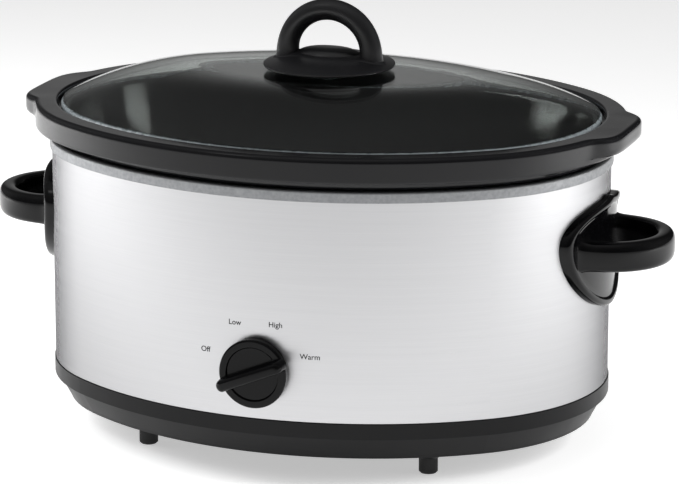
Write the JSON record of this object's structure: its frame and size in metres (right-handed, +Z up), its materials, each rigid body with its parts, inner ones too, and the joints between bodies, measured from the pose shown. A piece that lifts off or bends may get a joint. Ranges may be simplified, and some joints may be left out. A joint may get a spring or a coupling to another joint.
{
  "type": "slow cooker",
  "caption": "Oval countertop slow cooker: steel-wrapped heating base with black base and handles, rotary control, lift-out glazed crock and domed glass lid with an arched handle.",
  "frame": {"origin": "on the table plane, under the middle of the oval body", "axes": "+X towards the right-hand handle (the longest extent), -Y towards the control knob on the front, +Z up"},
  "size_m": [0.436, 0.293, 0.268],
  "materials": {
    "brushed_steel": "horizontally brushed stainless sheet",
    "collar_steel": "satin rolled steel of the heating well and its collar",
    "zinc_steel": "zinc-plated steel of screws, studs, nuts, clips and brackets",
    "shield_aluminium": "bright rolled aluminium",
    "base_plastic": "satin moulded black plastic",
    "handle_plastic": "glossy moulded black phenolic",
    "knob_plastic": "glossy moulded black plastic",
    "foot_rubber": "matt black rubber",
    "heater_mat": "woven glass-fibre heater sleeve",
    "ceramic_white": "glazed ceramic terminal block, spacers and fuse body",
    "switch_plastic": "moulded switch body",
    "wire_brown": "brown silicone wire cover",
    "wire_red": "red silicone wire cover",
    "wire_blue": "blue silicone wire cover",
    "wire_green": "green and yellow earth wire cover",
    "crock_glaze": "glossy charcoal glaze on stoneware",
    "clear_glass": "clear tempered glass with a polished edge",
    "lid_plastic": "satin-gloss black phenolic lid handle",
    "silicone": "grey-black silicone washer"
  },
  "bodies": {
    "body": {"base_pan": "base_plastic", "feet": "foot_rubber", "foot_screws": "zinc_steel", "outer_wrap": "brushed_steel", "heating_well": "collar_steel", "heat_shield": "shield_aluminium", "tie_studs": "zinc_steel", "tie_spacers": "ceramic_white", "tie_nuts": "zinc_steel", "lower_heater": "heater_mat", "upper_heater": "heater_mat", "heater_clips": "zinc_steel", "thermal_fuse": "ceramic_white", "fuse_clip": "zinc_steel", "left_handle": "handle_plastic", "right_handle": "handle_plastic", "handle_backings": "zinc_steel", "handle_screws": "zinc_steel", "rotary_switch": "switch_plastic", "switch_nut": "zinc_steel", "cord_gland": "base_plastic", "terminal_block": "ceramic_white", "live_wire": "wire_brown", "low_wire": "wire_red", "high_wire": "wire_red", "neutral_wire": "wire_blue", "earth_wire": "wire_green"},
    "knob": {"switch_shaft": "zinc_steel", "knob": "knob_plastic", "knob_clip": "zinc_steel"},
    "crock": {"crock": "crock_glaze"},
    "lid": {"lid_glass": "clear_glass", "lid_handle": "lid_plastic", "lid_washer": "silicone", "lid_screw": "zinc_steel"}
  },
  "joints": [
    {"name": "crock_lift", "type": "slide", "parent": "body", "child": "crock", "axis": [0, 0, 1], "range_m": [0, 0.14]},
    {"name": "lid_lift", "type": "slide", "parent": "crock", "child": "lid", "axis": [0, 0, 1], "range_m": [0, 0.08]},
    {"name": "knob_turn", "type": "hinge", "parent": "body", "child": "knob", "pos_m": [0, -0.132, 0.069], "axis": [0, -1, 0], "range_deg": [0, 135]}
  ]
}
